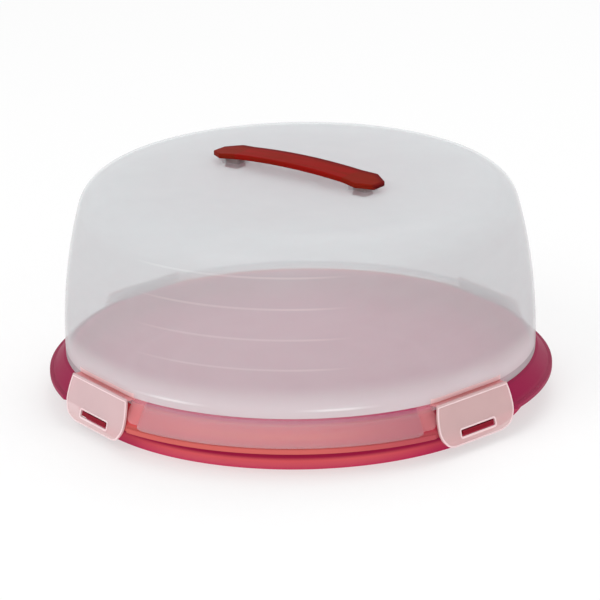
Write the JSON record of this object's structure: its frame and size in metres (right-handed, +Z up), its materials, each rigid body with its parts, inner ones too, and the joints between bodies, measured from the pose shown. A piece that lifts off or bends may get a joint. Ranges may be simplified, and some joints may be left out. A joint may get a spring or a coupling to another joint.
{
  "type": "cake carrier",
  "caption": "Round cake carrier: shallow tray, domed clear lid held by flap latches, and a strap handle on the crown.",
  "frame": {"origin": "centre of the footprint, on the table", "axes": "+Z up out of the lid; -Y is the front, midway between the two front latches"},
  "size_m": [0.35, 0.35, 0.1655],
  "materials": {
    "tray_plastic": "semi-gloss moulded red",
    "lid_plastic": "clear with a slight haze",
    "handle_plastic": "semi-gloss moulded dark red",
    "latch_plastic": "clear with a slight haze"
  },
  "bodies": {
    "tray": {"tray": "tray_plastic"},
    "lid": {"lid": "lid_plastic", "handle": "handle_plastic"},
    "latch_front_left": {"latch_front_left": "latch_plastic"},
    "latch_front_right": {"latch_front_right": "latch_plastic"},
    "latch_back_right": {"latch_back_right": "latch_plastic"},
    "latch_back_left": {"latch_back_left": "latch_plastic"}
  },
  "joints": [
    {"name": "lid_lift", "type": "slide", "parent": "tray", "child": "lid", "axis": [0, 0, 1], "range_m": [0, 0.2]},
    {"name": "latch_front_left_hinge", "type": "hinge", "parent": "lid", "child": "latch_front_left", "pos_m": [-0.12492, -0.10859, 0.0367], "axis": [-0.6561, 0.7547, 0], "range_deg": [0, 115]},
    {"name": "latch_front_right_hinge", "type": "hinge", "parent": "lid", "child": "latch_front_right", "pos_m": [0.12492, -0.10859, 0.0367], "axis": [-0.6561, -0.7547, 0], "range_deg": [0, 115]},
    {"name": "latch_back_right_hinge", "type": "hinge", "parent": "lid", "child": "latch_back_right", "pos_m": [0.12492, 0.10859, 0.0367], "axis": [0.6561, -0.7547, 0], "range_deg": [0, 115]},
    {"name": "latch_back_left_hinge", "type": "hinge", "parent": "lid", "child": "latch_back_left", "pos_m": [-0.12492, 0.10859, 0.0367], "axis": [0.6561, 0.7547, 0], "range_deg": [0, 115]}
  ]
}
